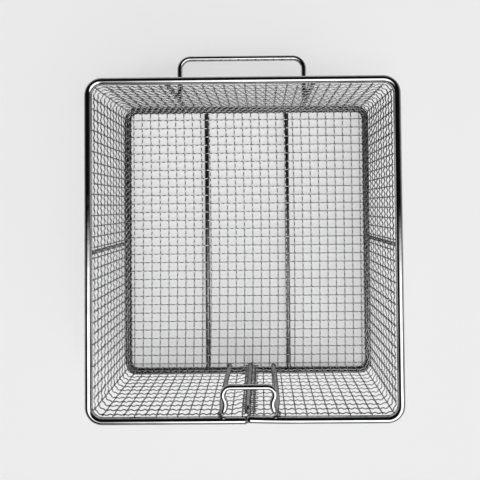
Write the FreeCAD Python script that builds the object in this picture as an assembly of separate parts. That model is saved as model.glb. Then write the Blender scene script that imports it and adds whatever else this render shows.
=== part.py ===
# Deep fryer basket of welded stainless rod and woven wire mesh, in millimetres.
# +X is the right side, +Y the rear with the hand bow, +Z up.
# The origin lies on the ground, at the middle of the whole outline with the rear handle.
import FreeCAD, Part
import math
import os

Vec = FreeCAD.Vector

# Rods
rim_rod_d = 8.0
foot_rod_d = 6.5
floor_rod_d = 6.0
stay_rod_d = 5.0
handle_rod_d = 6.0
bracket_rod_d = 6.0

# Basket, measured over the rim rod
rim_width = 337.0
rim_length = 367.0
rim_height = 158.0
rim_bend_radius = 15.0

# Woven mesh: the lattice stands for the wires, with two layers one wire thick
wire_d = 1.2
mesh_pitch = 11.36
wall_wires_per_strand = 2
wall_strand_width = 1.7
floor_wires_per_strand = 3
floor_strand_width = 2.5
seam_x = 3.0

# Weld gap between pieces that are joined
weld_gap = 0.05

# Foot rings and floor rods
foot_ring_inset = 0.5
floor_rod_x = 54.5

# Stays
side_stay_y = 3.0
back_stay_half_spacing = 79.2
back_stay_shift = -2.6
front_stay_top_drop = 2.3

# Rear handle
handle_height = 98.0
handle_reach = 45.9
handle_bend_radius = 13.0

# Front bracket, half widths from its own middle
bracket_x = 4.5
bracket_foot_half = 28.9
bracket_leg_half = 30.5
bracket_top_half = 27.5
bracket_neck_half = 23.4
bracket_corner_half = 32.5
bracket_reach = 28.1
bracket_neck_reach = 11.3
bracket_loop_rise = 8.0
bracket_leg_low = 50.0
bracket_foot_lift = 0.15
bracket_leg_high = 33.0
bracket_leg_bend_radius = 60.0
bracket_top_bend_radius = 6.0
bracket_neck_radius = 12.0
bracket_corner_radius = 8.0

# Distances from the basket's middle to the faces that the pieces share
mesh_thickness = 2 * wire_d
wall_cell = wall_wires_per_strand * mesh_pitch
floor_cell = floor_wires_per_strand * mesh_pitch
seam_width = mesh_pitch
rim_half_x = (rim_width - rim_rod_d) / 2
rim_half_y = (rim_length - rim_rod_d) / 2
mesh_inset = rim_rod_d / 2 + weld_gap
wall_outer_x = rim_half_x - mesh_inset
wall_outer_y = rim_half_y - mesh_inset
wall_outer_radius = rim_bend_radius - mesh_inset
wall_inner_x = wall_outer_x - mesh_thickness
wall_inner_y = wall_outer_y - mesh_thickness
wall_inner_radius = wall_outer_radius - mesh_thickness

# Heights
foot_ring_z = foot_rod_d / 2
wall_foot_ring_rise = math.sqrt((foot_rod_d + weld_gap) ** 2 - foot_ring_inset ** 2)
wall_foot_ring_z = foot_ring_z + wall_foot_ring_rise
wall_bottom_z = wall_foot_ring_z - wall_strand_width / 2
wall_top_z = rim_height + wall_strand_width / 2
floor_rod_z = wall_foot_ring_z
floor_bottom_z = floor_rod_z + floor_rod_d / 2 + weld_gap
floor_top_z = floor_bottom_z + mesh_thickness

# The outline reaches from the rim's front to the handle's rear, and the origin is at its middle
handle_bar_y = wall_outer_y + handle_reach
basket_y = (rim_length / 2 - handle_bar_y - handle_rod_d / 2) / 2


def unit(vector):
    """The vector's direction, one long."""
    return vector * (1.0 / vector.Length)


def straight(start, end, diameter):
    """A round bar from start to end."""
    run = end - start
    return Part.makeCylinder(diameter / 2, run.Length, start, run)


def bend(centre, start, direction, axis, angle, diameter):
    """A round bar bent about an axis through centre, from start on."""
    circle = Part.Circle(start, direction, diameter / 2)
    face = Part.Face(Part.Wire(circle.toShape()))
    return face.revolve(centre, axis, math.degrees(angle))


def rod(points, radii, diameter, closed=False):
    """A bent rod through the points, with a tangent bend of the given radius at each."""
    count = len(points)
    corners = range(count) if closed else range(1, count - 1)
    entry = dict(enumerate(points))
    leave = dict(enumerate(points))
    pieces = []
    for index in corners:
        corner = points[index]
        back = unit(points[index - 1] - corner)
        ahead = unit(points[(index + 1) % count] - corner)
        half = back.getAngle(ahead) / 2
        tangent = radii[index] / math.tan(half)
        entry[index] = corner + back * tangent
        leave[index] = corner + ahead * tangent
        centre = corner + unit(back + ahead) * (radii[index] / math.sin(half))
        axis = unit(ahead.cross(back))
        pieces.append(bend(centre, entry[index], back * -1, axis, math.pi - 2 * half, diameter))
    for index in range(count if closed else count - 1):
        pieces.append(straight(leave[index], entry[(index + 1) % count], diameter))
    return pieces[0].multiFuse(pieces[1:]).removeSplitter()


def rectangle_rod(half_x, half_y, radius, height, diameter):
    """A rod bent into a closed rectangle with rounded corners."""
    corners = [
        Vec(half_x, basket_y + half_y, height),
        Vec(-half_x, basket_y + half_y, height),
        Vec(-half_x, basket_y - half_y, height),
        Vec(half_x, basket_y - half_y, height),
    ]
    return rod(corners, [radius] * len(corners), diameter, closed=True)


def rounded_plate(half_x, half_y, radius, bottom, thickness):
    """A flat plate with rounded corners."""
    box = Part.makeBox(2 * half_x, 2 * half_y, thickness, Vec(-half_x, basket_y - half_y, bottom))
    upright = [edge for edge in box.Edges if abs(edge.tangentAt(edge.FirstParameter).z) > 0.9]
    return box.makeFillet(radius, upright)


def rounded_frame(half_x, half_y, radius, band, bottom, height):
    """A closed band with rounded corners, measured over its outside."""
    outer = rounded_plate(half_x, half_y, radius, bottom, height)
    inner = rounded_plate(half_x - band, half_y - band, radius - band, bottom, height)
    return outer.cut(inner)


def block(x_range, y_range, z_range):
    """A box between two values on each axis, with y counted from the basket's middle."""
    corner = Vec(x_range[0], basket_y + y_range[0], z_range[0])
    size_x = x_range[1] - x_range[0]
    size_y = y_range[1] - y_range[0]
    size_z = z_range[1] - z_range[0]
    return Part.makeBox(size_x, size_y, size_z, corner)


def around(middle, width):
    """The two ends of a width about its middle."""
    return (middle - width / 2, middle + width / 2)


def strand_places(first, cell, limit):
    """Places one cell apart on both sides of zero, from first out to the limit."""
    places = []
    place = first
    while place <= limit:
        places.append(place)
        if place > 0:
            places.append(-place)
        place += cell
    return sorted(places)


def hoop_heights():
    """Middle heights of the wall's hoops, from the bottom edge to the rim."""
    lowest = wall_bottom_z + wall_strand_width / 2
    highest = rim_height
    rows = round((highest - lowest) / wall_cell)
    return [lowest + (highest - lowest) * row / rows for row in range(rows + 1)]


def make_rim_rod():
    return rectangle_rod(rim_half_x, rim_half_y, rim_bend_radius, rim_height, rim_rod_d)


def make_wall_mesh():
    """The band of mesh: hoops outside, uprights inside, and the lapped seam at the front."""
    strands = []
    for height in hoop_heights():
        bottom = height - wall_strand_width / 2
        strands.append(rounded_frame(wall_outer_x, wall_outer_y, wall_outer_radius,
                                     wire_d, bottom, wall_strand_width))
    z_range = (wall_bottom_z, wall_top_z)
    layer_x = (wall_inner_x, wall_inner_x + wire_d)
    layer_y = (wall_inner_y, wall_inner_y + wire_d)
    straight_x = wall_outer_x - wall_outer_radius - wall_strand_width
    straight_y = wall_outer_y - wall_outer_radius - wall_strand_width
    for place in strand_places(0, wall_cell, straight_x):
        strands.append(block(around(place, wall_strand_width), layer_y, z_range))
    for place in strand_places(seam_width / 2, wall_cell, straight_x - abs(seam_x)):
        front = (-layer_y[1], -layer_y[0])
        strands.append(block(around(seam_x + place, wall_strand_width), front, z_range))
    for place in strand_places(wall_cell / 2, wall_cell, straight_y):
        y_range = around(place, wall_strand_width)
        strands.append(block(layer_x, y_range, z_range))
        strands.append(block((-layer_x[1], -layer_x[0]), y_range, z_range))
    strands += [make_corner_strand(quarter, z_range) for quarter in range(4)]
    strands += make_seam(z_range)
    return strands[0].multiFuse(strands[1:]).removeSplitter()


def make_corner_strand(quarter, z_range):
    """An upright on the middle of a corner's bend, inside the hoops."""
    centre_x = wall_outer_x - wall_outer_radius
    centre_y = wall_outer_y - wall_outer_radius
    height = z_range[1] - z_range[0]
    corner = Vec(wall_outer_radius - mesh_thickness, -wall_strand_width / 2, z_range[0])
    strand = Part.makeBox(wire_d, wall_strand_width, height, corner)
    strand.rotate(Vec(0, 0, 0), Vec(0, 0, 1), 45 + 90 * quarter)
    side_x = 1 if quarter in (0, 3) else -1
    side_y = 1 if quarter in (0, 1) else -1
    strand.translate(Vec(side_x * centre_x, basket_y + side_y * centre_y, 0))
    return strand


def make_seam(z_range):
    """The end of the band, lapped inside its start by one cell of the weave."""
    strands = []
    upright_y = (-wall_inner_y, -wall_inner_y + wire_d)
    cross_y = (-wall_inner_y + wire_d, -wall_inner_y + mesh_thickness)
    seam_bottom_z = floor_top_z + weld_gap
    for side in (-1, 1):
        x_range = around(seam_x + side * seam_width / 2, wall_strand_width)
        strands.append(block(x_range, upright_y, (seam_bottom_z, z_range[1])))
    for height in hoop_heights():
        if height > seam_bottom_z + wall_strand_width:
            x_range = around(seam_x, seam_width + wall_strand_width)
            strands.append(block(x_range, cross_y, around(height, wall_strand_width)))
    return strands


def make_floor_mesh():
    """The floor sheet: cross strands below, lengthwise strands above, and its edge."""
    half_x = wall_inner_x - weld_gap
    half_y = wall_inner_y - weld_gap
    radius = wall_inner_radius - weld_gap
    edge = rounded_frame(half_x, half_y, radius, floor_strand_width, floor_bottom_z, mesh_thickness)
    strands = []
    for place in strand_places(0, floor_cell, half_x - floor_cell / 2):
        z_range = (floor_bottom_z + wire_d, floor_top_z)
        y_range = (-half_y + wire_d, half_y - wire_d)
        strands.append(block(around(place, floor_strand_width), y_range, z_range))
    for place in strand_places(0, floor_cell, half_y - floor_cell / 2):
        z_range = (floor_bottom_z, floor_bottom_z + wire_d)
        x_range = (-half_x + wire_d, half_x - wire_d)
        strands.append(block(x_range, around(place, floor_strand_width), z_range))
    return edge.multiFuse(strands).removeSplitter()


def make_wall_foot_ring():
    """The upper of the two foot rings, welded round the lowest wires of the wall."""
    offset = weld_gap + foot_rod_d / 2
    return rectangle_rod(wall_outer_x + offset, wall_outer_y + offset,
                         wall_outer_radius + offset, wall_foot_ring_z, foot_rod_d)


def make_foot_ring():
    """The lower ring, right under the other, which the basket stands on."""
    offset = weld_gap + foot_rod_d / 2 - foot_ring_inset
    return rectangle_rod(wall_outer_x + offset, wall_outer_y + offset,
                         wall_outer_radius + offset, foot_ring_z, foot_rod_d)


def make_floor_rod(side):
    """A rod under the floor sheet, level with the upper foot ring, from wall to wall."""
    end = wall_inner_y - weld_gap
    start = Vec(side * floor_rod_x, basket_y - end, floor_rod_z)
    return straight(start, start + Vec(0, 2 * end, 0), floor_rod_d)


def make_outer_stay(x_place, y_place):
    """An upright between the ring at the wall's foot and the rim, outside the mesh."""
    bottom = wall_foot_ring_z + foot_rod_d / 2 + weld_gap
    top = rim_height - rim_rod_d / 2 - weld_gap
    start = Vec(x_place, basket_y + y_place, bottom)
    return straight(start, start + Vec(0, 0, top - bottom), stay_rod_d)


def make_side_stay(side):
    return make_outer_stay(side * (wall_outer_x + weld_gap + stay_rod_d / 2), side * side_stay_y)


def make_back_stay(side):
    x_place = back_stay_shift + side * back_stay_half_spacing
    return make_outer_stay(x_place, wall_outer_y + weld_gap + stay_rod_d / 2)


def make_front_stay():
    """The upright inside the mesh, over the lapped seam."""
    y_place = -(wall_inner_y - mesh_thickness - weld_gap - stay_rod_d / 2)
    bottom = floor_top_z + weld_gap
    top = rim_height - front_stay_top_drop
    start = Vec(seam_x, basket_y + y_place, bottom)
    return straight(start, start + Vec(0, 0, top - bottom), stay_rod_d)


def make_rear_handle():
    """The bow behind the rear wall, its two ends beside the back stays."""
    leg = back_stay_half_spacing - stay_rod_d / 2 - weld_gap - handle_rod_d / 2
    start_y = basket_y + wall_outer_y + weld_gap
    end_y = basket_y + handle_bar_y
    points = [
        Vec(back_stay_shift - leg, start_y, handle_height),
        Vec(back_stay_shift - leg, end_y, handle_height),
        Vec(back_stay_shift + leg, end_y, handle_height),
        Vec(back_stay_shift + leg, start_y, handle_height),
    ]
    return rod(points, [handle_bend_radius] * len(points), handle_rod_d)


def make_front_bracket():
    """One bent wire: two legs down the inside of the front wall, and a necked loop between."""
    leg_y = -(wall_inner_y - weld_gap - bracket_rod_d / 2)
    loop_z = rim_height + bracket_loop_rise
    foot_z = floor_top_z + bracket_foot_lift
    stations = [
        (bracket_foot_half, leg_y, foot_z, 0),
        (bracket_leg_half, leg_y, foot_z + bracket_leg_low, bracket_leg_bend_radius),
        (bracket_leg_half, leg_y, loop_z - bracket_leg_high, bracket_leg_bend_radius),
        (bracket_top_half, leg_y, loop_z, bracket_top_bend_radius),
        (bracket_neck_half, leg_y + bracket_neck_reach, loop_z, bracket_neck_radius),
        (bracket_corner_half, leg_y + bracket_reach, loop_z, bracket_corner_radius),
    ]
    right = [Vec(bracket_x + half, basket_y + y, z) for half, y, z, radius in stations]
    left = [Vec(bracket_x - half, basket_y + y, z) for half, y, z, radius in stations]
    radii = [radius for half, y, z, radius in stations]
    return rod(right + left[::-1], radii + radii[::-1], bracket_rod_d)


nodes = {
    "rim_rod": make_rim_rod(),
    "wall_mesh": make_wall_mesh(),
    "floor_mesh": make_floor_mesh(),
    "wall_foot_ring": make_wall_foot_ring(),
    "foot_ring": make_foot_ring(),
    "floor_rod_left": make_floor_rod(-1),
    "floor_rod_right": make_floor_rod(1),
    "side_stay_left": make_side_stay(-1),
    "side_stay_right": make_side_stay(1),
    "back_stay_left": make_back_stay(-1),
    "back_stay_right": make_back_stay(1),
    "front_stay": make_front_stay(),
    "rear_handle": make_rear_handle(),
    "front_bracket": make_front_bracket(),
}

os.makedirs("parts", exist_ok=True)
for name, shape in nodes.items():
    shape.exportStep("parts/" + name + ".step")
    box = shape.BoundBox
    low = "%.2f %.2f %.2f" % (box.XMin, box.YMin, box.ZMin)
    high = "%.2f %.2f %.2f" % (box.XMax, box.YMax, box.ZMax)
    print(name, len(shape.Solids), "solid", shape.isValid(), round(shape.Volume), low, "to", high)
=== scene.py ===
import math
import random

import bmesh
import bpy
import numpy as np
from mathutils import Matrix, Vector, noise


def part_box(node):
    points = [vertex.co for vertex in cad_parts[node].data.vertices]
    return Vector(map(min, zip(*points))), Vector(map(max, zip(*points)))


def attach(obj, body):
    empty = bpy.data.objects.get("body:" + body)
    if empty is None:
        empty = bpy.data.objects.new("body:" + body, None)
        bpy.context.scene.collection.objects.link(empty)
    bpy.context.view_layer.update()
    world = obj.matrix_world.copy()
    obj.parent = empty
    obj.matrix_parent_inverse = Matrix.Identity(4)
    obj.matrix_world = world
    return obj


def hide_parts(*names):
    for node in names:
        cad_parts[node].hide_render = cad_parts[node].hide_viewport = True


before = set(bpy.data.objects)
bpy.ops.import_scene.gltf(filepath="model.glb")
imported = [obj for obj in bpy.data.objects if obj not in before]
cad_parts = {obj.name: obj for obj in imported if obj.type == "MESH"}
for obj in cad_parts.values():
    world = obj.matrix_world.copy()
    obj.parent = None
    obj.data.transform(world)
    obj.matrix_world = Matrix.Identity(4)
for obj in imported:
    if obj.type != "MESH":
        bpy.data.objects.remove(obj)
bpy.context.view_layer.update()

random.seed(7)

# Woven wire, in metres
WALL_WIRE_RADIUS = 0.000675
FLOOR_WIRE_RADIUS = 0.00075
MESH_PITCH = 0.01136
CRIMP = 0.0006
CRIMPS_PER_CELL = 3
STEPS_PER_CELL = 9
WIRE_SIDES = 6

# Floor sheet: its wires end a little inside its edge, and its lengthwise wires bow to the right
FLOOR_COLUMNS = 28
FLOOR_ROWS = 31
FLOOR_ROW_SHIFT = 0.0041
FLOOR_EDGE = 0.000675
BOW = 0.002
BOW_SLOPE = 0.004
BOW_HALF_X = 0.155
BOW_HALF_Y = 0.172

# Wall band: one layer of the lattice it replaces, and its highest hoop under the rim's middle
LAYER = 0.0012
WALL_ROWS = 14
TOP_HOOP_DROP = 0.0033
UPRIGHT_END = 0.0005

# The band's lapped seam at the front: places along the band are counted in cells from SEAM_X
SEAM_X = 0.003
FIRST_UPRIGHT = -0.5
HOOP_OVERRUN = 0.6
LAP_CELLS = 1.5
SEAM_UPRIGHTS = (-0.25, 0.2, 0.62)
STUB_STARTS = (-0.62, -0.5)
STUB_ENDS = (0.85, 1.0)
STUB_POINTS = 13
STUB_LAYERS = 1.5

# Corner radii of the solids, in metres
WALL_CORNER = 0.01095
FLOOR_CORNER = 0.0085
RIM_CORNER = 0.015

# The rim rod and its butt joint at the front
RIM_RADIUS = 0.004
JOINT_X = 0.002
JOINT_GAP = 0.0006
JOINT_STEP = 0.0012
JOINT_REACH = 0.06
RIM_STEP = 0.004
BEND_STEPS = 16
ROD_SIDES = 32

# The bracket's legs: their middles at the rim, the share of that at the feet, and their radius
BRACKET_LEGS = (("left", -0.026), ("right", 0.035))
LEG_FOOT_SHARE = 0.97
LEG_RADIUS = 0.003

# Weld beads: half sizes along x, y and z, in metres
STAY_TOP_BEAD = (0.0029, 0.0029, 0.0016)
STAY_FOOT_BEAD = (0.0030, 0.0030, 0.0014)
HANDLE_BEAD = (0.0013, 0.0024, 0.0016)
BRACKET_TOP_BEAD = (0.0030, 0.0026, 0.0034)
BRACKET_FOOT_BEAD = (0.0036, 0.0036, 0.0016)
FRONT_STAY_TOP_BEAD = (0.0031, 0.0040, 0.0022)
FRONT_STAY_FOOT_BEAD = (0.0031, 0.0031, 0.0015)
FLOOR_ROD_BEAD = (0.0036, 0.0018, 0.0030)
RIM_JOINT_BEAD = (0.0016, 0.0036, 0.0036)

# How far the beads' middles stand from the middles and ends of the rods, in metres
STAY_BEAD_SHIFT = 0.0003
HANDLE_BEAD_OUT = 0.0001
HANDLE_BEAD_BACK = 0.0006
HANDLE_BEAD_LIFT = 0.0020
BRACKET_BEAD_FORWARD = 0.0030
BRACKET_BEAD_DROP = 0.0015
BRACKET_FOOT_RISE = 0.0006
FRONT_STAY_BEAD_FORWARD = 0.0012
FRONT_STAY_BEAD_SHIFT = 0.0004
RIM_JOINT_BACK = 0.0006
RIM_JOINT_DROP = 0.0002

# The beads' surface, on a ball of radius 1
BEAD_FINENESS = 4
BEAD_SHIFT_REACH = 9
BEAD_LUMP = 0.22
BEAD_LUMP_SCALE = 1.6
BEAD_RIPPLE = 0.10
BEAD_WAVES = (9, 5)

# Noise values that stand for the two ends of a spread
NOISE_SPAN = (0.3, 0.7)
COLOUR_SPAN = (0.35, 0.65)

# Studio: tones are linear, and the lights' edges are slopes from straight up
FLOOR_SIZE = 5.0
FLOOR_DROP = 0.0002
FLOOR_NEAR = 0.5
FLOOR_FAR = 2.2
FLOOR_TONE = 0.95
FLOOR_SEEN = 0.45
FLOOR_FAR_TONE = 0.5
HORIZON_GLOW = 0.376
HORIZON_EDGE = (0.17, 0.25)
LOWEST_HEIGHT = 0.02
DARK_TONE = 0.006
RIGHT_TONE = 0.14
RIGHT_EDGE = (0.6, 0.95)
SOFTBOX_GLOW = 2.7
SOFTBOX_TOP = (0.0, 0.22)
SOFTBOX_BOTTOM = (1.0, 1.8)
SOFTBOX_LEFT = (-0.5, 0.0)
SOFTBOX_RIGHT = (0.9, 1.5)

# The lamp that gives the shadows: a long soft bar high in front
BAR_PLACE = (0.25, -0.62, 2.7)
BAR_SIZE = (2.0, 0.3)
BAR_POWER = 22.0

# Camera: place over the middle of the floor mesh, in metres, and turn in radians
CAMERA_PLACE = (0.01837, 0.04492, 0.65602)
CAMERA_TURN = (0.01961, 0.00435, -0.00897)
FOCAL_PIXELS = 483.0
CENTRE_PIXEL = (258.4, 197.0)
PHOTO_SIZE = 480
SENSOR_WIDTH = 36.0


def centre_of(node):
    """The middle of a CAD node's box."""
    low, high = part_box(node)
    return (Vector(low) + Vector(high)) / 2


# Materials

def new_material(name):
    """An empty node material with its Principled shader."""
    material = bpy.data.materials.new(name)
    material.use_nodes = True
    tree = material.node_tree
    shader = tree.nodes["Principled BSDF"]
    return material, tree, shader


def link_noise(tree, scale, detail, low, high, socket):
    """Noise in object space, spread between two values, into a socket."""
    coords = tree.nodes.new("ShaderNodeTexCoord")
    grain = tree.nodes.new("ShaderNodeTexNoise")
    grain.inputs["Scale"].default_value = scale
    grain.inputs["Detail"].default_value = detail
    spread = tree.nodes.new("ShaderNodeMapRange")
    spread.inputs["From Min"].default_value = NOISE_SPAN[0]
    spread.inputs["From Max"].default_value = NOISE_SPAN[1]
    spread.inputs["To Min"].default_value = low
    spread.inputs["To Max"].default_value = high
    tree.links.new(coords.outputs["Object"], grain.inputs["Vector"])
    tree.links.new(grain.outputs["Fac"], spread.inputs["Value"])
    tree.links.new(spread.outputs["Result"], socket)


def link_colours(tree, scale, dark, light, socket):
    """Two colours mixed by soft noise, into a colour socket."""
    coords = tree.nodes.new("ShaderNodeTexCoord")
    grain = tree.nodes.new("ShaderNodeTexNoise")
    grain.inputs["Scale"].default_value = scale
    grain.inputs["Detail"].default_value = 4.0
    ramp = tree.nodes.new("ShaderNodeValToRGB")
    for end, position, colour in zip(ramp.color_ramp.elements, COLOUR_SPAN, (dark, light)):
        end.position = position
        end.color = (*colour, 1)
    tree.links.new(coords.outputs["Object"], grain.inputs["Vector"])
    tree.links.new(grain.outputs["Fac"], ramp.inputs["Fac"])
    tree.links.new(ramp.outputs["Color"], socket)


def link_bump(tree, shader, scale, strength, distance):
    """A fine noise bump on the shader's normal."""
    coords = tree.nodes.new("ShaderNodeTexCoord")
    grain = tree.nodes.new("ShaderNodeTexNoise")
    grain.inputs["Scale"].default_value = scale
    grain.inputs["Detail"].default_value = 3.0
    bump = tree.nodes.new("ShaderNodeBump")
    bump.inputs["Strength"].default_value = strength
    bump.inputs["Distance"].default_value = distance
    tree.links.new(coords.outputs["Object"], grain.inputs["Vector"])
    tree.links.new(grain.outputs["Fac"], bump.inputs["Height"])
    tree.links.new(bump.outputs["Normal"], shader.inputs["Normal"])


def polished_rod_material():
    """Bright drawn rod, electropolished, with faint ripples and handling marks."""
    material, tree, shader = new_material("polished_rod")
    shader.inputs["Metallic"].default_value = 1.0
    link_colours(tree, 60.0, (0.48, 0.48, 0.485), (0.60, 0.60, 0.605), shader.inputs["Base Color"])
    shader.inputs["Specular Tint"].default_value = (0.4, 0.4, 0.4, 1)
    link_noise(tree, 180.0, 5.0, 0.03, 0.10, shader.inputs["Roughness"])
    link_bump(tree, shader, 240.0, 0.06, 0.0003)
    return material


def painted_shade_rod_material(name, dark, light):
    """The same steel, darker and duller: its darker colour is painted shade for rods that sit low under
    the mesh.
    """
    material, tree, shader = new_material(name)
    shader.inputs["Metallic"].default_value = 1.0
    shader.inputs["Specular Tint"].default_value = (0.3, 0.3, 0.3, 1)
    link_colours(tree, 120.0, dark, light, shader.inputs["Base Color"])
    link_noise(tree, 220.0, 5.0, 0.08, 0.2, shader.inputs["Roughness"])
    link_bump(tree, shader, 300.0, 0.12, 0.0004)
    return material


def woven_wire_material(name, dark, light, smoothest, roughest):
    """Crimped stainless wire, its slopes bright or dark as they face the light."""
    material, tree, shader = new_material(name)
    shader.inputs["Metallic"].default_value = 1.0
    shader.inputs["Specular Tint"].default_value = (0.0, 0.0, 0.0, 1)
    link_colours(tree, 90.0, dark, light, shader.inputs["Base Color"])
    link_noise(tree, 400.0, 4.0, smoothest, roughest, shader.inputs["Roughness"])
    link_bump(tree, shader, 900.0, 0.10, 0.0001)
    return material


def weld_material():
    """Weld metal: rough, with straw and grey heat tints."""
    material, tree, shader = new_material("weld_metal")
    shader.inputs["Metallic"].default_value = 1.0
    link_colours(tree, 300.0, (0.05, 0.048, 0.046), (0.26, 0.252, 0.24), shader.inputs["Base Color"])
    link_noise(tree, 500.0, 4.0, 0.25, 0.5, shader.inputs["Roughness"])
    link_bump(tree, shader, 700.0, 0.4, 0.0005)
    return material


rod_steel = polished_rod_material()
# The floor rods' darker steel is painted shade under the floor mesh.
floor_rod_shade_steel = painted_shade_rod_material("floor_rod_painted_shade", (0.11, 0.109, 0.107), (0.26, 0.258, 0.255))
# The foot rings' near-black steel is painted shade low under the walls and the mesh.
ring_shade_steel = painted_shade_rod_material("ring_painted_shade", (0.04, 0.0395, 0.0385), (0.14, 0.1385, 0.136))
floor_wire_steel = woven_wire_material(
    "floor_wire", (0.66, 0.66, 0.665), (0.80, 0.80, 0.805), 0.12, 0.20)
wall_wire_steel = woven_wire_material(
    "wall_wire", (0.36, 0.36, 0.365), (0.50, 0.50, 0.505), 0.08, 0.18)
weld_steel = weld_material()


# Meshes

def new_piece(name, points, faces, material):
    """A smooth mesh piece on the root body."""
    mesh = bpy.data.meshes.new(name)
    mesh.from_pydata(points, [], faces)
    mesh.polygons.foreach_set("use_smooth", [True] * len(mesh.polygons))
    mesh.materials.append(material)
    mesh.update()
    piece = bpy.data.objects.new(name, mesh)
    bpy.context.collection.objects.link(piece)
    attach(piece, "root")
    return piece


class Bundle:
    """Round wires collected into one mesh."""

    def __init__(self):
        self.points = []
        self.faces = []
        self.count = 0

    def wire(self, path, across, radius, sides):
        """Adds a wire along the path. Its section stands on the vectors in across."""
        along = np.gradient(path, axis=0)
        along /= np.linalg.norm(along, axis=1)[:, None]
        first = np.cross(across, along)
        first /= np.linalg.norm(first, axis=1)[:, None]
        second = np.cross(along, first)
        turn = 2 * math.pi * np.arange(sides) / sides
        ring = (path[:, None, :] + radius * np.cos(turn)[None, :, None] * first[:, None, :]
                + radius * np.sin(turn)[None, :, None] * second[:, None, :])
        self.points.append(ring.reshape(-1, 3))
        here = self.count + np.arange(len(path) - 1)[:, None] * sides
        side = np.arange(sides)[None, :]
        beside = (side + 1) % sides
        quads = np.stack([here + side, here + beside, here + sides + beside, here + sides + side], axis=2)
        self.faces += quads.reshape(-1, 4).tolist()
        last = self.count + (len(path) - 1) * sides
        self.faces.append([self.count + k for k in range(sides)][::-1])
        self.faces.append([last + k for k in range(sides)])
        self.count += len(path) * sides

    def piece(self, name, material, slot):
        """The bundle as a piece."""
        points = np.concatenate(self.points).tolist()
        return new_piece(name, points, self.faces, material)


def crimp(distance, pitch, sign):
    """How far a crimped wire stands off the sheet's middle, at a distance from a crossing."""
    return sign * CRIMP * np.cos(CRIMPS_PER_CELL * math.pi * distance / pitch)


def pulled_aside(x, y):
    """The small bow of the lengthwise wires, which were pulled to the right when the sheet was laid."""
    free = np.clip(1 - (x / BOW_HALF_X) ** 2, 0, 1)
    return (BOW - BOW_SLOPE * x) * (1 - (y / BOW_HALF_Y) ** 2) * np.sqrt(free)


def make_floor_mesh():
    """The woven floor sheet, wire by wire."""
    low, high = (Vector(corner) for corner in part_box("floor_mesh"))
    middle = (low + high) / 2
    half_x = high.x - middle.x
    half_y = high.y - middle.y
    bundle = Bundle()

    def reach(place, half_across, half_along):
        """Half the length of a wire at a place, shortened in the rounded corners."""
        into_corner = abs(place) - (half_across - FLOOR_CORNER)
        if into_corner <= 0:
            return half_along - FLOOR_EDGE
        drop = FLOOR_CORNER - math.sqrt(max(FLOOR_CORNER ** 2 - into_corner ** 2, 0))
        return half_along - drop - FLOOR_EDGE

    def lay(index, place, first_crossing, half_across, half_along, along_x, sign):
        """Adds one wire at a place, along x or along y."""
        half = reach(place, half_across, half_along)
        steps = int(2 * half / MESH_PITCH * STEPS_PER_CELL)
        run = np.linspace(-half, half, steps + 1)
        lift = crimp(run - first_crossing, MESH_PITCH, sign * (-1) ** index)
        path = np.zeros((len(run), 3))
        path[:, 0 if along_x else 1] = run
        path[:, 1 if along_x else 0] = place
        path[:, 2] = lift
        path[:, 0] += pulled_aside(path[:, 0], path[:, 1])
        path += np.array(middle)
        across = np.tile((0.0, 0.0, 1.0), (len(run), 1))
        bundle.wire(path, across, FLOOR_WIRE_RADIUS, WIRE_SIDES)

    first_x = -(FLOOR_COLUMNS - 1) / 2 * MESH_PITCH
    first_y = -(FLOOR_ROWS - 1) / 2 * MESH_PITCH + FLOOR_ROW_SHIFT
    for column in range(FLOOR_COLUMNS):
        lay(column, first_x + column * MESH_PITCH, first_y, half_x, half_y, False, 1)
    for row in range(FLOOR_ROWS):
        place = min(first_y + row * MESH_PITCH, half_y - FLOOR_EDGE)
        lay(row, place, first_x, half_y, half_x, True, -1)
    piece = bundle.piece("floor_mesh_woven", floor_wire_steel, "woven_wire")
    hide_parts("floor_mesh")


class Band:
    """The line of the wall band in plan: a rounded rectangle from the seam round to the seam."""

    def __init__(self):
        low, high = (Vector(corner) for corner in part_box("wall_mesh"))
        self.middle = (low + high) / 2
        self.half_x = high.x - self.middle.x - LAYER
        self.half_y = high.y - self.middle.y - LAYER
        self.radius = WALL_CORNER - LAYER
        self.top = high.z
        straight_x = 2 * (self.half_x - self.radius)
        straight_y = 2 * (self.half_y - self.radius)
        arc = math.pi / 2 * self.radius
        from_corner = SEAM_X + self.half_x - self.radius
        straights = (straight_x - from_corner, straight_y, straight_x, straight_y, from_corner)
        self.stretches = [(straights[0], False)]
        for straight in straights[1:]:
            self.stretches += [(arc, True), (straight, False)]
        self.length = sum(size for size, bent in self.stretches)

    def at(self, distance):
        """Plan point and outward direction at a distance along the band."""
        distance = float(distance) % self.length
        point = Vector((SEAM_X, -self.half_y))
        heading = 0.0
        for size, bent in self.stretches:
            part = min(distance, size)
            if not bent:
                point = point + part * Vector((math.cos(heading), math.sin(heading)))
            else:
                turned = part / self.radius
                left = Vector((-math.sin(heading), math.cos(heading)))
                centre = point + self.radius * left
                heading += turned
                point = centre - self.radius * Vector((-math.sin(heading), math.cos(heading)))
            distance -= part
            if distance <= 0:
                break
        outward = Vector((math.sin(heading), -math.cos(heading)))
        return point, outward


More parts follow.
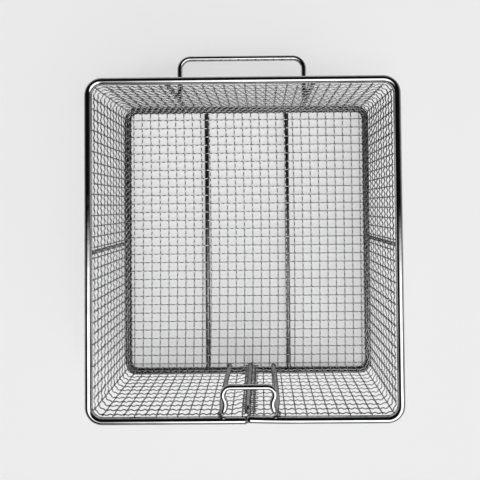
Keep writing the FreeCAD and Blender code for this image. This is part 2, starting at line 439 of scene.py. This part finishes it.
def make_wall_mesh():
    """The woven band round the walls, its end lapped inside its start."""
    band = Band()
    cells = round(band.length / MESH_PITCH)
    pitch = band.length / cells
    top_hoop = centre_of("rim_rod").z - TOP_HOOP_DROP
    lap_start = band.length - LAP_CELLS * pitch

    def place(distance, offset, height):
        """A point of the band, at an offset from its line, moved inward where it laps."""
        point, outward = band.at(distance)
        lap = min(max((distance - lap_start) / pitch, 0.0), 1.0)
        inset = 2 * LAYER * lap * lap * (3 - 2 * lap)
        spot = point + outward * float(offset - inset)
        return (spot.x + band.middle.x, spot.y + band.middle.y, height)

    hoops = Bundle()
    overrun = HOOP_OVERRUN * pitch
    run = np.arange(-overrun, band.length + overrun, pitch / STEPS_PER_CELL)
    first = FIRST_UPRIGHT * pitch
    for row in range(WALL_ROWS):
        height = top_hoop - row * MESH_PITCH
        offsets = crimp(run - first, pitch, (-1) ** row)
        path = np.array([place(u, off, height) for u, off in zip(run, offsets)])
        hoops.wire(path, np.tile((0.0, 0.0, 1.0), (len(path), 1)), WALL_WIRE_RADIUS, WIRE_SIDES)
    uprights = Bundle()
    lowest = top_hoop - (WALL_ROWS - 1) * MESH_PITCH
    rise = np.arange(lowest - UPRIGHT_END, band.top, MESH_PITCH / STEPS_PER_CELL)
    for upright in range(cells + 2):
        u = first + upright * pitch
        offsets = crimp(rise - top_hoop, MESH_PITCH, -(-1) ** upright)
        path = np.array([place(u, off, z) for z, off in zip(rise, offsets)])
        point, outward = band.at(u)
        across = np.tile((outward.x, outward.y, 0.0), (len(path), 1))
        uprights.wire(path, across, WALL_WIRE_RADIUS, WIRE_SIDES)
    for share in SEAM_UPRIGHTS:
        point, outward = band.at(share * pitch)
        spot = point - outward * LAYER
        path = np.array([(spot.x + band.middle.x, spot.y + band.middle.y, z) for z in rise])
        path[:, 0] += crimp(rise - top_hoop, MESH_PITCH, 1.0)
        across = np.tile((outward.x, outward.y, 0.0), (len(path), 1))
        uprights.wire(path, across, WALL_WIRE_RADIUS, WIRE_SIDES)
    for row in range(2 * WALL_ROWS - 1):
        height = top_hoop - (row + 0.5) / 2 * MESH_PITCH
        start = random.uniform(*STUB_STARTS) * pitch
        end = random.uniform(*STUB_ENDS) * pitch
        run = np.linspace(start, end, STUB_POINTS)
        path = np.array([place(u, -STUB_LAYERS * LAYER, height) for u in run])
        hoops.wire(path, np.tile((0.0, 0.0, 1.0), (len(path), 1)), WALL_WIRE_RADIUS, WIRE_SIDES)
    for name, bundle in (("wall_hoops_woven", hoops), ("wall_uprights_woven", uprights)):
        piece = bundle.piece(name, wall_wire_steel, "woven_wire")
        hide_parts("wall_mesh")


def make_rim():
    """The rim rod, bent from one length, its two ends meeting at the front a little out of line."""
    low, high = (Vector(corner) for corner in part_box("rim_rod"))
    middle = (low + high) / 2
    radius = (high.z - low.z) / 2
    half_x = high.x - middle.x - radius
    half_y = high.y - middle.y - radius
    straight_x = half_x - RIM_CORNER
    straight_y = half_y - RIM_CORNER
    line = []
    corners = ((1, -1, -90), (1, 1, 0), (-1, 1, 90), (-1, -1, 180))
    for x in np.arange(JOINT_X + JOINT_GAP / 2, straight_x, RIM_STEP):
        line.append((x, -half_y))
    for index, (side_x, side_y, start) in enumerate(corners):
        for step in range(BEND_STEPS + 1):
            angle = math.radians(start + 90 * step / BEND_STEPS)
            line.append((side_x * straight_x + RIM_CORNER * math.cos(angle),
                         side_y * straight_y + RIM_CORNER * math.sin(angle)))
        if index in (0, 2):
            for y in np.arange(-straight_y + RIM_STEP, straight_y - RIM_STEP / 2, RIM_STEP):
                line.append((side_x * half_x, -side_y * y))
        if index == 1:
            for x in np.arange(-straight_x + RIM_STEP, straight_x - RIM_STEP / 2, RIM_STEP):
                line.append((-x, half_y))
    for x in np.arange(-straight_x + RIM_STEP, JOINT_X - JOINT_GAP / 2, RIM_STEP):
        line.append((x, -half_y))
    line.append((JOINT_X - JOINT_GAP / 2, -half_y))
    path = np.zeros((len(line), 3))
    path[:, :2] = line
    beyond = np.clip((path[:, 0] - JOINT_X) / JOINT_REACH, 0, 1)
    at_front = (path[:, 1] < 0) & (path[:, 0] > JOINT_X)
    path[:, 1] += np.where(at_front, JOINT_STEP * (1 - beyond) ** 2, 0)
    path += np.array(middle)
    bundle = Bundle()
    bundle.wire(path, np.tile((0.0, 0.0, 1.0), (len(path), 1)), radius, ROD_SIDES)
    piece = bundle.piece("rim_rod_bent", rod_steel, "polished_rod")
    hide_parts("rim_rod")


def make_bead(name, place, size):
    """A small lumpy weld bead."""
    form = bmesh.new()
    bmesh.ops.create_icosphere(form, subdivisions=BEAD_FINENESS, radius=1.0)
    shift = Vector([random.uniform(-BEAD_SHIFT_REACH, BEAD_SHIFT_REACH) for axis in range(3)])
    for vert in form.verts:
        waves = math.sin(BEAD_WAVES[0] * vert.co.x + shift.x) * math.cos(BEAD_WAVES[1] * vert.co.y)
        lump = 1 + BEAD_LUMP * noise.noise(vert.co * BEAD_LUMP_SCALE + shift) + BEAD_RIPPLE * waves
        vert.co = Vector([vert.co[axis] * size[axis] * lump for axis in range(3)]) + Vector(place)
    points = [tuple(vert.co) for vert in form.verts]
    faces = [[vert.index for vert in face.verts] for face in form.faces]
    form.free()
    return new_piece(name, points, faces, weld_steel)


def weld_stays():
    """A bead at the top and at the foot of each outer stay."""
    for node in ("side_stay_left", "side_stay_right", "back_stay_left", "back_stay_right"):
        low, high = (Vector(corner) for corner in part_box(node))
        middle = (low + high) / 2
        out = Vector((math.copysign(1, middle.x), 0, 0)) if "side" in node else Vector((0, 1, 0))
        spot = middle + STAY_BEAD_SHIFT * out
        make_bead("weld_top_" + node, (spot.x, spot.y, high.z - STAY_BEAD_SHIFT), STAY_TOP_BEAD)
        make_bead("weld_foot_" + node, (spot.x, spot.y, low.z + STAY_BEAD_SHIFT), STAY_FOOT_BEAD)


def weld_handle():
    """Two beads where each end of the rear handle meets its stay."""
    low, high = (Vector(corner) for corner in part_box("rear_handle"))
    middle_z = (low.z + high.z) / 2
    for name, x in (("left", low.x), ("right", high.x)):
        side = math.copysign(1, x)
        stay = centre_of("back_stay_" + name)
        for label, lift in (("upper", HANDLE_BEAD_LIFT), ("lower", -HANDLE_BEAD_LIFT)):
            spot = (x + side * HANDLE_BEAD_OUT, stay.y + HANDLE_BEAD_BACK, middle_z + lift)
            make_bead("weld_handle_" + name + "_" + label, spot, HANDLE_BEAD)


def weld_bracket():
    """A bead behind each leg at the rim, and one round each foot."""
    low = Vector(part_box("front_bracket")[0])
    leg_y = low.y + LEG_RADIUS
    top_z = centre_of("rim_rod").z - BRACKET_BEAD_DROP
    for name, x in BRACKET_LEGS:
        make_bead("weld_bracket_" + name, (x, leg_y - BRACKET_BEAD_FORWARD, top_z), BRACKET_TOP_BEAD)
        foot = (x * LEG_FOOT_SHARE, leg_y, low.z + BRACKET_FOOT_RISE)
        make_bead("weld_bracket_foot_" + name, foot, BRACKET_FOOT_BEAD)


def weld_front_stay():
    """The beads at the two ends of the front stay."""
    low, high = (Vector(corner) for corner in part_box("front_stay"))
    middle = (low + high) / 2
    top = (middle.x, middle.y - FRONT_STAY_BEAD_FORWARD, high.z - FRONT_STAY_BEAD_SHIFT)
    foot = (middle.x, middle.y, low.z + FRONT_STAY_BEAD_SHIFT)
    make_bead("weld_front_stay", top, FRONT_STAY_TOP_BEAD)
    make_bead("weld_front_stay_foot", foot, FRONT_STAY_FOOT_BEAD)


def weld_floor_rods():
    """A bead at each end of the floor rods."""
    for node in ("floor_rod_left", "floor_rod_right"):
        low, high = (Vector(corner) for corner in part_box(node))
        middle = (low + high) / 2
        for name, y in (("front", low.y), ("back", high.y)):
            make_bead("weld_" + node + "_" + name, (middle.x, y, middle.z), FLOOR_ROD_BEAD)


def weld_rim():
    """The bead in the rim's butt joint."""
    front = Vector(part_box("rim_rod")[0]).y
    spot = (JOINT_X, front + RIM_RADIUS + RIM_JOINT_BACK, centre_of("rim_rod").z - RIM_JOINT_DROP)
    make_bead("weld_rim_joint", spot, RIM_JOINT_BEAD)


# Rods low in the basket get darker steel: painted shade.
PAINTED_SHADE_STEELS = {"floor_rod_left": floor_rod_shade_steel, "floor_rod_right": floor_rod_shade_steel,
         "foot_ring": ring_shade_steel, "wall_foot_ring": ring_shade_steel}

make_floor_mesh()
make_wall_mesh()
make_rim()
weld_stays()
weld_handle()
weld_bracket()
weld_front_stay()
weld_floor_rods()
weld_rim()

for node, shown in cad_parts.items():
    if node not in ("floor_mesh", "wall_mesh"):
        steel = PAINTED_SHADE_STEELS.get(node, rod_steel)
        for slot in shown.material_slots:
            slot.material = steel


# Floor, lights and world

def make_floor():
    """A wide pale floor, greyed a little far from the basket by painted shade."""
    material, tree, shader = new_material("pale_floor")
    shader.inputs["Roughness"].default_value = 0.9
    shader.inputs["Specular IOR Level"].default_value = 0.0
    coords = tree.nodes.new("ShaderNodeTexCoord")
    distance = tree.nodes.new("ShaderNodeVectorMath")
    distance.operation = "LENGTH"
    # The ramp greys the floor away from the basket: painted shade.
    ramp = tree.nodes.new("ShaderNodeValToRGB")
    ramp.color_ramp.elements[0].position = FLOOR_NEAR / FLOOR_SIZE
    ramp.color_ramp.elements[0].color = (*[FLOOR_TONE] * 3, 1)
    ramp.color_ramp.elements[1].position = FLOOR_FAR / FLOOR_SIZE
    ramp.color_ramp.elements[1].color = (*[FLOOR_FAR_TONE] * 3, 1)
    share = tree.nodes.new("ShaderNodeMath")
    share.operation = "DIVIDE"
    share.inputs[1].default_value = FLOOR_SIZE
    tree.links.new(coords.outputs["Object"], distance.inputs[0])
    tree.links.new(distance.outputs["Value"], share.inputs[0])
    tree.links.new(share.outputs[0], ramp.inputs["Fac"])
    tree.links.new(ramp.outputs["Color"], shader.inputs["Base Color"])
    rays = tree.nodes.new("ShaderNodeLightPath")
    seen = tree.nodes.new("ShaderNodeMath")
    seen.operation = "ADD"
    seen.use_clamp = True
    tree.links.new(rays.outputs["Is Camera Ray"], seen.inputs[0])
    tree.links.new(rays.outputs["Is Glossy Ray"], seen.inputs[1])
    glow = tree.nodes.new("ShaderNodeEmission")
    tree.links.new(ramp.outputs["Color"], glow.inputs["Color"])
    mixed = tree.nodes.new("ShaderNodeMixShader")
    part = tree.nodes.new("ShaderNodeMath")
    part.operation = "MULTIPLY"
    part.inputs[1].default_value = FLOOR_SEEN
    tree.links.new(seen.outputs[0], part.inputs[0])
    tree.links.new(part.outputs[0], mixed.inputs["Fac"])
    tree.links.new(shader.outputs[0], mixed.inputs[1])
    tree.links.new(glow.outputs[0], mixed.inputs[2])
    tree.links.new(mixed.outputs[0], tree.nodes["Material Output"].inputs["Surface"])
    size = FLOOR_SIZE
    corners = [(-size, -size, 0), (size, -size, 0), (size, size, 0), (-size, size, 0)]
    mesh = bpy.data.meshes.new("pale_floor")
    mesh.from_pydata(corners, [], [(0, 1, 2, 3)])
    mesh.materials.append(material)
    floor = bpy.data.objects.new("pale_floor", mesh)
    floor.location.z = -FLOOR_DROP
    bpy.context.collection.objects.link(floor)


def make_world():
    """A dark studio with one large soft light high in front, a grey right side and a pale horizon."""
    world = bpy.data.worlds.new("studio")
    world.use_nodes = True
    tree = world.node_tree
    background = tree.nodes["Background"]
    coords = tree.nodes.new("ShaderNodeTexCoord")
    split = tree.nodes.new("ShaderNodeSeparateXYZ")
    tree.links.new(coords.outputs["Generated"], split.inputs["Vector"])

    def combine(operation, first, second):
        """A sum, product or the like of two sockets or numbers."""
        node = tree.nodes.new("ShaderNodeMath")
        node.operation = operation
        for socket, value in zip(node.inputs, (first, second)):
            if isinstance(value, float):
                socket.default_value = value
            else:
                tree.links.new(value, socket)
        return node.outputs[0]

    def fade(value, start, end, low, high):
        """A soft step of a socket from one value to another."""
        node = tree.nodes.new("ShaderNodeMapRange")
        node.interpolation_type = "SMOOTHSTEP"
        node.inputs["From Min"].default_value = start
        node.inputs["From Max"].default_value = end
        node.inputs["To Min"].default_value = low
        node.inputs["To Max"].default_value = high
        tree.links.new(value, node.inputs["Value"])
        return node.outputs["Result"]

    height = combine("MAXIMUM", split.outputs["Z"], LOWEST_HEIGHT)
    forward = combine("MULTIPLY", combine("DIVIDE", split.outputs["Y"], height), -1.0)
    aside = combine("DIVIDE", split.outputs["X"], height)

    def panel(glow, top, bottom, left, right):
        """A light with soft edges."""
        along = combine("MULTIPLY", fade(forward, *top, 0.0, 1.0), fade(forward, *bottom, 1.0, 0.0))
        across = combine("MULTIPLY", fade(aside, *left, 0.0, 1.0), fade(aside, *right, 1.0, 0.0))
        return combine("MULTIPLY", combine("MULTIPLY", along, across), glow)

    softbox = panel(SOFTBOX_GLOW, SOFTBOX_TOP, SOFTBOX_BOTTOM, SOFTBOX_LEFT, SOFTBOX_RIGHT)
    right_wall = fade(split.outputs["X"], *RIGHT_EDGE, DARK_TONE, RIGHT_TONE)
    horizon = fade(split.outputs["Z"], *HORIZON_EDGE, HORIZON_GLOW, 0.0)
    total = combine("ADD", softbox, combine("MAXIMUM", right_wall, horizon))
    tree.links.new(total, background.inputs["Strength"])
    background.inputs["Color"].default_value = (1, 1, 1, 1)
    bpy.context.scene.world = world


def make_bar():
    """The lamp over the front that throws the shadows. It isn't seen in the metal."""
    lamp = bpy.data.lights.new("light_bar", "AREA")
    lamp.shape = "RECTANGLE"
    lamp.size, lamp.size_y = BAR_SIZE
    lamp.energy = BAR_POWER
    bar = bpy.data.objects.new("light_bar", lamp)
    bar.location = BAR_PLACE
    bar.rotation_euler = (-Vector(BAR_PLACE)).to_track_quat("-Z", "Y").to_euler()
    bar.visible_glossy = False
    bar.visible_camera = False
    bpy.context.collection.objects.link(bar)


def make_camera():
    """The photograph's camera: almost straight above, a little behind and to the right."""
    lens = bpy.data.cameras.new("photo_camera")
    lens.sensor_fit = "HORIZONTAL"
    lens.sensor_width = SENSOR_WIDTH
    lens.lens = FOCAL_PIXELS / PHOTO_SIZE * SENSOR_WIDTH
    lens.shift_x = (PHOTO_SIZE / 2 - CENTRE_PIXEL[0]) / PHOTO_SIZE
    lens.shift_y = (CENTRE_PIXEL[1] - PHOTO_SIZE / 2) / PHOTO_SIZE
    camera = bpy.data.objects.new("photo_camera", lens)
    turn = Vector(CAMERA_TURN)
    rotation = Matrix.Rotation(turn.length, 4, turn.normalized())
    basket_y = centre_of("rim_rod").y
    mesh_z = centre_of("floor_mesh").z
    place = Vector(CAMERA_PLACE) + Vector((0, basket_y, mesh_z))
    camera.matrix_world = Matrix.Translation(place) @ rotation
    bpy.context.collection.objects.link(camera)
    bpy.context.scene.camera = camera


make_floor()
make_world()
make_bar()
make_camera()
bpy.context.scene.view_settings.view_transform = "Standard"
